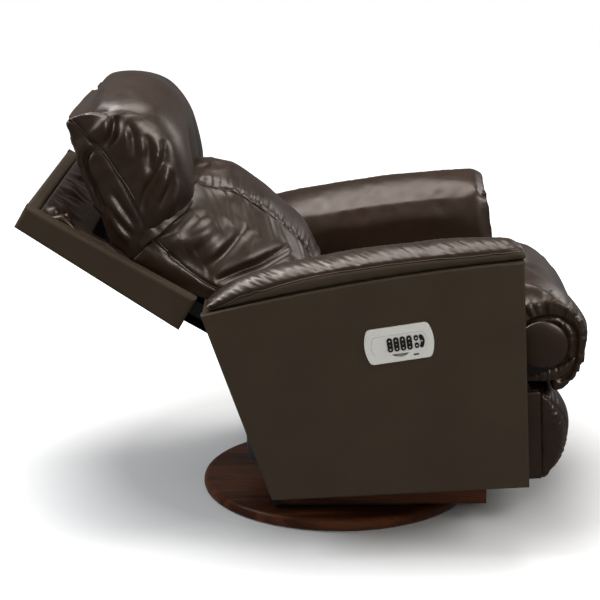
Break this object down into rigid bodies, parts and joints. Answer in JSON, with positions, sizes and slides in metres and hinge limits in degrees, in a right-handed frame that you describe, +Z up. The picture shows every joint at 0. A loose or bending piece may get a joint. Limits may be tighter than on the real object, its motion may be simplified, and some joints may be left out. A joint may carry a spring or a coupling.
{
  "type": "power swivel rocker recliner",
  "caption": "Leather power recliner on a round wooden swivel base: it rocks, the back reclines, the footrest folds out, and the headrest and lumbar move.",
  "frame": {"origin": "on the floor, on the swivel axis at the centre of the base disc", "axes": "+X to the front of the chair, +Y to the sitter's left, +Z up"},
  "size_m": [1.1736, 0.8824, 0.9348],
  "materials": {
    "cushion_leather": "dark brown leather over foam, soft sheen",
    "panel_leather": "dark brown leather over board, flat and less glossy",
    "stained_wood": "dark reddish-brown stain under satin lacquer",
    "frame_wood": "plain plywood and hardwood, unseen",
    "bearing_steel": "bright zinc-plated steel",
    "black_steel": "black powder-coated steel",
    "drive_plastic": "black moulded plastic",
    "black_cloth": "black dust cloth and webbing",
    "grey_plastic": "warm light grey moulded plastic",
    "key_plastic": "black key caps"
  },
  "bodies": {
    "base": {"base_disc": "stained_wood", "swivel_lower_race": "bearing_steel", "swivel_balls": "bearing_steel", "king_bolt": "bearing_steel"},
    "swivel_frame": {"swivel_upper_race": "bearing_steel", "mount_plate": "black_steel", "base_side_rails": "stained_wood", "base_cross_rails": "stained_wood"},
    "chair_body": {"rocker_cams": "frame_wood", "cross_beams": "frame_wood", "mechanism_plate_left": "black_steel", "mechanism_plate_right": "black_steel", "arm_frame_left": "frame_wood", "arm_frame_right": "frame_wood", "arm_side_panel_left": "panel_leather", "arm_side_panel_right": "panel_leather", "arm_pad_left": "cushion_leather", "arm_pad_right": "cushion_leather", "arm_front_facings": "panel_leather", "arm_rear_facings": "panel_leather", "rear_cover": "black_cloth", "seat_side_rails": "frame_wood", "seat_end_rails": "frame_wood", "seat_webbing": "black_cloth", "seat_cushion": "cushion_leather", "footrest_actuator": "drive_plastic", "recline_actuator": "drive_plastic", "power_box": "drive_plastic", "control_bezel": "grey_plastic"},
    "backrest": {"back_panel": "panel_leather", "back_side_walls": "panel_leather", "back_top_wall": "panel_leather", "back_posts": "frame_wood", "back_cross_rails": "frame_wood", "back_hinge_arms": "black_steel", "back_torque_tube": "black_steel", "back_cushion": "cushion_leather", "back_skirt": "black_cloth", "headrest_brackets": "black_steel", "headrest_motor": "drive_plastic"},
    "headrest": {"headrest_plate": "frame_wood", "headrest_hinge": "black_steel", "headrest_cushion": "cushion_leather"},
    "lumbar": {"lumbar_paddle": "drive_plastic"},
    "footrest_lower": {"footrest_lower_links": "black_steel"},
    "footrest_upper": {"footrest_upper_links": "black_steel"},
    "footrest": {"footrest_brackets": "black_steel", "footrest_board": "frame_wood", "footrest_pad": "cushion_leather"},
    "footrest_nut": {"footrest_nut": "drive_plastic"},
    "recline_nut": {"recline_nut": "drive_plastic"},
    "handset": {"handset": "grey_plastic"},
    "rocker_key_1": {"rocker_key_1": "key_plastic"},
    "rocker_key_2": {"rocker_key_2": "key_plastic"},
    "rocker_key_3": {"rocker_key_3": "key_plastic"},
    "rocker_key_4": {"rocker_key_4": "key_plastic"},
    "small_key_upper": {"small_key_upper": "key_plastic"},
    "small_key_lower": {"small_key_lower": "key_plastic"},
    "home_key": {"home_key": "key_plastic"}
  },
  "joints": [
    {"name": "swivel", "type": "hinge", "parent": "base", "child": "swivel_frame", "pos_m": [0, 0, 0], "axis": [0, 0, 1], "continuous": true},
    {"name": "rock", "type": "hinge", "parent": "swivel_frame", "child": "chair_body", "pos_m": [-0.028, 0, 0.8123], "axis": [0, 1, 0], "range_deg": [-4, 5]},
    {"name": "back_recline", "type": "hinge", "parent": "chair_body", "child": "backrest", "pos_m": [-0.09987, 0, 0.43204], "axis": [0, 1, 0], "range_deg": [0, 38]},
    {"name": "recline_drive", "type": "slide", "parent": "chair_body", "child": "recline_nut", "axis": [0.9986, 0, 0.0532], "range_m": [-0.075, 0.002]},
    {"name": "head_tilt", "type": "hinge", "parent": "backrest", "child": "headrest", "pos_m": [-0.48669, 0, 0.60172], "axis": [0, 1, 0], "range_deg": [-32, 0]},
    {"name": "lumbar_push", "type": "slide", "parent": "backrest", "child": "lumbar", "axis": [0.497, 0, 0.8678], "range_m": [0, 0.025]},
    {"name": "footrest_swing", "type": "hinge", "parent": "chair_body", "child": "footrest_lower", "pos_m": [0.32688, 0, 0.31658], "axis": [0, -1, 0], "range_deg": [0, 116.3]},
    {"name": "footrest_fold", "type": "hinge", "parent": "footrest_lower", "child": "footrest_upper", "pos_m": [0.20842, 0, 0.17448], "axis": [0, -1, 0], "range_deg": [-97, 1]},
    {"name": "footrest_turn", "type": "hinge", "parent": "footrest_upper", "child": "footrest", "pos_m": [0.39092, 0, 0.20483], "axis": [0, -1, 0], "range_deg": [-1, 65]},
    {"name": "footrest_drive", "type": "slide", "parent": "chair_body", "child": "footrest_nut", "axis": [0.9986, 0, 0.0532], "range_m": [-0.002, 0.125]},
    {"name": "handset_lift", "type": "slide", "parent": "chair_body", "child": "handset", "axis": [0, -1, 0], "range_m": [0, 0.12]},
    {"name": "rocker_key_1_tilt", "type": "hinge", "parent": "handset", "child": "rocker_key_1", "pos_m": [0.09096, -0.43925, 0.45138], "axis": [0.9884, 0, 0.1521], "range_deg": [-4, 4], "stiffness_Nm_per_rad": 0.06},
    {"name": "rocker_key_2_tilt", "type": "hinge", "parent": "handset", "child": "rocker_key_2", "pos_m": [0.10371, -0.43925, 0.45334], "axis": [0.9884, 0, 0.1521], "range_deg": [-4, 4], "stiffness_Nm_per_rad": 0.06},
    {"name": "rocker_key_3_tilt", "type": "hinge", "parent": "handset", "child": "rocker_key_3", "pos_m": [0.11646, -0.43925, 0.45531], "axis": [0.9884, 0, 0.1521], "range_deg": [-4, 4], "stiffness_Nm_per_rad": 0.06},
    {"name": "rocker_key_4_tilt", "type": "hinge", "parent": "handset", "child": "rocker_key_4", "pos_m": [0.12921, -0.43925, 0.45727], "axis": [0.9884, 0, 0.1521], "range_deg": [-4, 4], "stiffness_Nm_per_rad": 0.06},
    {"name": "small_key_upper_press", "type": "slide", "parent": "handset", "child": "small_key_upper", "axis": [0, 1, 0], "range_m": [0, 0.0013], "stiffness_N_per_m": 400},
    {"name": "small_key_lower_press", "type": "slide", "parent": "handset", "child": "small_key_lower", "axis": [0, 1, 0], "range_m": [0, 0.0013], "stiffness_N_per_m": 400},
    {"name": "home_key_press", "type": "slide", "parent": "handset", "child": "home_key", "axis": [0, 1, 0], "range_m": [0, 0.0013], "stiffness_N_per_m": 400}
  ],
  "couplings": [
    {"joint": "recline_drive", "follows": "back_recline", "m_per_rad": -0.10799},
    {"joint": "footrest_fold", "follows": "footrest_swing", "ratio": -0.81},
    {"joint": "footrest_turn", "follows": "footrest_swing", "ratio": 0.541},
    {"joint": "footrest_drive", "follows": "footrest_swing", "m_per_rad": 0.059119}
  ]
}
